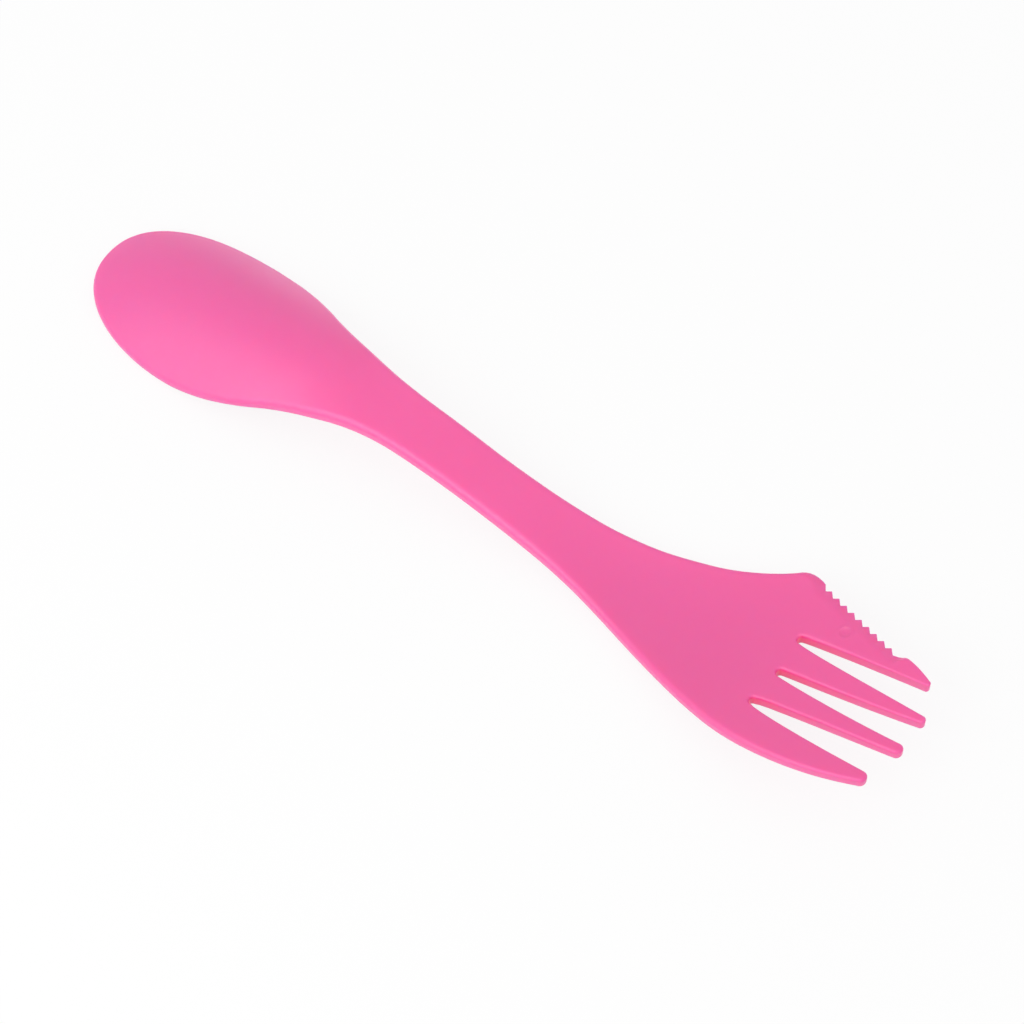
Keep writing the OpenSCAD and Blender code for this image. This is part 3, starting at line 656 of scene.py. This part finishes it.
def tooth_cutter(material):
    """Node tree that cuts the knife edge back to a row of saw teeth"""
    tree = bpy.data.node_groups.new("Saw teeth", "GeometryNodeTree")
    sockets = {"Blank": tree.interface.new_socket("Blank", in_out="INPUT", socket_type="NodeSocketGeometry")}
    for name in SAW_INPUTS:
        sockets[name] = tree.interface.new_socket(name, in_out="INPUT", socket_type="NodeSocketFloat")
    tree.interface.new_socket("Spork", in_out="OUTPUT", socket_type="NodeSocketGeometry")
    start = tree.nodes.new("NodeGroupInput")
    given = {name: Wire(tree, start.outputs[name]) for name in sockets}
    new = Wire(tree).add
    position = new("GeometryNodeInputPosition")
    x = new("ShaderNodeSeparateXYZ", None, {0: position})
    along = (x - given["First valley"]) / given["Tooth pitch"]
    share_of_pitch = along.math("FRACT", along)
    rise = share_of_pitch / given["Lean"]
    fall = (1 - share_of_pitch) / (1 - given["Lean"])
    tooth = rise.math("SMOOTH_MIN", rise, fall, TOOTH_ROUND)
    in_row = along.math("GREATER_THAN", along, 0) * along.math("LESS_THAN", along, given["Teeth"])
    before = 1 + along * given["Tooth pitch"] / given["Run-in"]
    after = 1 - (along - given["Teeth"]) * given["Tooth pitch"] / given["Run-out"]
    ends = before.math("MAXIMUM", before.math("MINIMUM", before, after), 0)
    valleys = (in_row + (1 - in_row) * ends) * (given["Recess"] + given["Tooth height"])
    depth = valleys - in_row * tooth * given["Tooth height"]
    way = new("GeometryNodeInputNamedAttribute", {"data_type": "FLOAT_VECTOR"}, {"Name": "cut_way"})
    offset = new("ShaderNodeVectorMath", {"operation": "SCALE"}, {0: way, "Scale": depth})
    cut = new("GeometryNodeSetPosition", None, {"Geometry": given["Blank"], "Offset": offset})
    real = new("GeometryNodeRealizeInstances", None, {"Geometry": cut})
    done = new("GeometryNodeSetMaterial", None, {"Geometry": real, "Material": material})
    end = tree.nodes.new("NodeGroupOutput")
    tree.links.new(done.socket, end.inputs[0])
    return tree, {name: socket.identifier for name, socket in sockets.items()}


def bare_material(name):
    """A material without nodes, and the method that adds them"""
    material = bpy.data.materials.new(name)
    material.use_nodes = True
    material.node_tree.nodes.clear()
    return material, Wire(material.node_tree).add


def eye_rays(new):
    """Two masks: rays of the camera, straight, in the gloss or through; and those in the gloss alone"""
    straight, glossy, through = (new("ShaderNodeLightPath", None, None, name)
                                 for name in ("Is Camera Ray", "Is Glossy Ray", "Is Transmission Ray"))
    return straight + glossy + through, glossy


def moulded_pink(look):
    """Satin pink plastic: fine grain of the mould, faint flow marks, a slightly uneven sheen, painted shade towards
    the tines and painted light deep in the slots
    """
    material, new = bare_material("moulded_pink")
    place = new("ShaderNodeTexCoord", None, None, "Object")
    flow_place = new("ShaderNodeMapping", None, {"Vector": place, "Scale": FLOW_SCALE})
    flow = new("ShaderNodeTexNoise", None, {
        "Vector": flow_place, "Scale": 1, "Detail": 3, "Roughness": 0.55, "Distortion": 0.4})
    grain = new("ShaderNodeTexNoise", None, {"Vector": place, "Scale": GRAIN_SCALE, "Detail": 2, "Roughness": 0.6})
    haze = new("ShaderNodeTexNoise", None, {"Vector": place, "Scale": HAZE_SCALE, "Detail": 4, "Roughness": 0.6})
    x = new("ShaderNodeSeparateXYZ", None, {0: place})
    # Painted shade: the pink darkens towards the tines, with a wavy edge from the flow marks
    shade_to_tines = (x + 0.02 * flow).smooth(SHADE_FROM, SHADE_TO)
    along = new("ShaderNodeMix", {"data_type": "RGBA"}, {
        0: shade_to_tines, 6: (*look.pink, 1), 7: (*look.painted_tine_shade, 1)}, 2)
    # Painted light: the slots' walls light each other, so they are found by how little of the sky they see and painted
    # a brighter, deeper pink
    sky_seen = new("ShaderNodeAmbientOcclusion", {"samples": 12, "only_local": True}, {
        "Distance": SLOT_REACH}, "AO")
    base = new("ShaderNodeMix", {"data_type": "RGBA"}, {
        0: sky_seen.smooth(SLOT_OPEN, SLOT_CLOSED), 6: along, 7: (*look.painted_slot_light, 1)}, 2)
    sheen = look.roughness + 0.05 * (haze - 0.5) + 0.04 * (flow - 0.5)
    relief = grain + 1.5 * haze
    bump = new("ShaderNodeBump", None, {"Strength": 0.35, "Distance": look.grain, "Height": relief})
    spot = new("ShaderNodeVectorMath", {"operation": "MULTIPLY_ADD"}, {
        0: place, 1: (1, 1, 0), 2: (-MARK_AT[0], -MARK_AT[1], 0)})
    away = new("ShaderNodeVectorMath", {"operation": "LENGTH"}, {0: spot}, "Value")
    dent = new("ShaderNodeValToRGB", {"stops": MARK_RELIEF}, {"Fac": away / look.mark_r})
    bump = new("ShaderNodeBump", None, {
        "Strength": 1, "Distance": look.mark_depth, "Height": dent, "Normal": bump})
    skin = new("ShaderNodeBsdfPrincipled", None, {
        "Base Color": base, "Roughness": sheen, "Normal": bump, "IOR": 1.49,
        "Subsurface Weight": look.depth, "Subsurface Radius": DEPTH_BY_COLOUR, "Subsurface Scale": DEEPEST})
    new("ShaderNodeOutputMaterial", None, {"Surface": skin})
    return material


def pale_table(look):
    """Plain pale table that the camera sees nearly white, with the spork's soft shadow on it"""
    material, new = bare_material("pale_table")
    seen, glossy = eye_rays(new)
    matt = new("ShaderNodeBsdfDiffuse", None, {"Color": (*look.floor, 1)})
    white = new("ShaderNodeEmission", None, {"Color": WHITE, "Strength": 1.0})
    mixed = new("ShaderNodeMixShader", None, {0: TABLE_WHITE * seen, 1: matt, 2: white})
    glowing = new("ShaderNodeEmission", None, {"Color": WHITE, "Strength": TABLE_SHEEN})
    sheen = new("ShaderNodeMixShader", None, {0: glossy, 1: mixed, 2: glowing})
    new("ShaderNodeOutputMaterial", None, {"Surface": sheen})
    return material


def way_to(shares, right, near):
    """Direction given as shares of right, near and up"""
    return (shares[0] * right + shares[1] * near + Vector((0, 0, shares[2]))).normalized()


def bright_room(look, right, near):
    """World: even white light all round, and a bright wall at the near side that only the sheen shows"""
    world = bpy.data.worlds.new("studio")
    world.use_nodes = True
    world.node_tree.nodes.clear()
    new = Wire(world.node_tree).add
    seen, glossy = eye_rays(new)
    even = new("ShaderNodeBackground", None, {"Color": WHITE, "Strength": look.sky})
    white = new("ShaderNodeBackground", None, {"Color": WHITE, "Strength": 1.0})
    mixed = new("ShaderNodeMixShader", None, {0: seen, 1: even, 2: white})
    way = new("ShaderNodeTexCoord", None, None, "Generated")
    facing = new("ShaderNodeVectorMath", {"operation": "DOT_PRODUCT"}, {
        0: way, 1: way_to(WALL_WAY, right, near)}, "Value")
    bright = new("ShaderNodeBackground", None, {"Color": WHITE, "Strength": look.glow})
    window = glossy * facing.smooth(WALL_START, WALL_FULL)
    glowing = new("ShaderNodeMixShader", None, {0: window, 1: mixed, 2: bright})
    new("ShaderNodeOutputWorld", None, {"Surface": glowing})
    return world


def fill_box(mesh):
    """Stretches the mesh by a hair, so that it fills the construction model's box"""
    corners = np.array([v.co for v in mesh.vertices])
    low, high = corners.min(0), corners.max(0)
    box = np.array(CAD_BOX)
    fit = (box[1] - box[0]) / (high - low)
    mesh.transform(Matrix.Translation(box[0]) @ Matrix.Diagonal((*fit, 1)) @ Matrix.Translation(-low))


class SPORK_OT_mould(bpy.types.Operator):
    """Makes the spork as one plastic moulding and cuts its teeth"""
    bl_idname = "spork.mould"
    bl_label = "Mould the spork"

    def execute(self, context):
        scene = context.scene
        form = Form(scene.spork_shape, scene.spork_tines)
        points, faces, cut = moulding(form)
        mesh = bpy.data.meshes.new("spork_moulding")
        mesh.from_pydata(points.tolist(), [], faces.tolist())
        mesh.attributes.new("cut_way", "FLOAT_VECTOR", "POINT").data.foreach_set("vector", cut.ravel())
        blank = bpy.data.objects.new("spork_moulding", mesh)
        scene.collection.objects.link(blank)
        material = moulded_pink(scene.spork_plastic)
        tree, ids = tooth_cutter(material)
        teeth = blank.modifiers.new("Saw teeth", "NODES")
        teeth.node_group = tree
        sizes = (form.knife_from, form.tooth_pitch, form.tooth_count, form.tooth_h, form.tooth_recess,
                 TOOTH_LEAN, form.run_in, form.tooth_pitch)
        for name, value in zip(SAW_INPUTS, sizes):
            teeth[ids[name]] = float(value)
        plain = bpy.data.meshes.new_from_object(blank.evaluated_get(context.evaluated_depsgraph_get()))
        blank.modifiers.remove(teeth)
        blank.data = plain
        plain.name = "spork_moulding_cut"
        fill_box(plain)
        plain.attributes.remove(plain.attributes["cut_way"])
        plain.shade_smooth()
        plain.set_sharp_from_angle(angle=SHARP_ANGLE)
        plain.update()
        if plain.validate(verbose=False):
            raise RuntimeError("the moulding's mesh was not sound")
        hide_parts(NODE)
        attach(blank, "root")
        return {"FINISHED"}


class SPORK_OT_stage(bpy.types.Operator):
    """Makes the table, the lamps, the even light and the camera"""
    bl_idname = "spork.stage"
    bl_label = "Set the stage"

    def execute(self, context):
        scene, look = context.scene, context.scene.spork_studio
        reach = TABLE_REACH
        corners = [(-reach, -reach), (reach, -reach), (reach, reach), (-reach, reach)]
        mesh = bpy.data.meshes.new("table")
        mesh.from_pydata([(x, y, -TABLE_GAP) for x, y in corners], [], [(0, 1, 2, 3)])
        mesh.materials.append(pale_table(look))
        table = bpy.data.objects.new("table", mesh)
        scene.collection.objects.link(table)

        turn, up = look.turn, look.height
        right = Vector((cos(turn), sin(turn), 0))
        near = Vector((sin(turn), -cos(turn), 0))
        down = Vector((sin(turn) * sin(up), -cos(turn) * sin(up), -cos(up)))
        towards = Vector((sin(turn) * cos(up), -cos(turn) * cos(up), sin(up)))
        scene.world = bright_room(look, right, near)

        light = bpy.data.lights.new("key_lamp", "AREA")
        light.shape, light.size, light.energy = "SQUARE", KEY_SIDE, look.key
        lamp = bpy.data.objects.new("key_lamp", light)
        lamp.location = KEY_DISTANCE * way_to(KEY_WAY, right, near)
        lamp.rotation_euler = lamp.location.to_track_quat("Z", "Y").to_euler()
        scene.collection.objects.link(lamp)

        middle = Vector((0, 0, MIDDLE_Z))
        aim = middle + AIM_RIGHT * right + AIM_DOWN * down
        lens = bpy.data.cameras.new("camera")
        lens.lens, lens.sensor_width, lens.clip_start, lens.clip_end = look.lens, 36, 0.01, 20
        camera = bpy.data.objects.new("camera", lens)
        camera.location = middle + look.distance * towards
        back = (camera.location - aim).normalized()
        level = (right - right.dot(back) * back).normalized()
        camera.rotation_euler = Matrix((level, back.cross(level), back)).transposed().to_euler()
        scene.collection.objects.link(camera)
        scene.camera = camera
        scene.view_settings.view_transform = "Standard"
        return {"FINISHED"}


class SPORK_PT_panel(bpy.types.Panel):
    """Lists the spork's pieces and its stage"""
    bl_idname = "SPORK_PT_panel"
    bl_label = "Spork"
    bl_space_type = "VIEW_3D"
    bl_region_type = "UI"
    bl_category = "Spork"

    def draw(self, context):
        for operator in OPERATORS:
            self.layout.operator(operator.bl_idname)
        for name in GROUPS:
            group = getattr(context.scene, name)
            box = self.layout.box()
            for key in group.bl_rna.properties.keys():
                if key not in ("name", "rna_type"):
                    box.prop(group, key)


GROUPS = {"spork_shape": SporkShape, "spork_tines": SporkTines,
          "spork_plastic": SporkPlastic, "spork_studio": SporkStudio}
OPERATORS = [SPORK_OT_mould, SPORK_OT_stage]


def register():
    for cls in [*GROUPS.values(), *OPERATORS, SPORK_PT_panel]:
        bpy.utils.register_class(cls)
    for name, group in GROUPS.items():
        setattr(bpy.types.Scene, name, PointerProperty(type=group))


def unregister():
    for name in GROUPS:
        delattr(bpy.types.Scene, name)
    for cls in reversed([*GROUPS.values(), *OPERATORS, SPORK_PT_panel]):
        bpy.utils.unregister_class(cls)


def main():
    register()
    bpy.ops.spork.mould()
    bpy.ops.spork.stage()


if __name__ == "__main__":
    main()
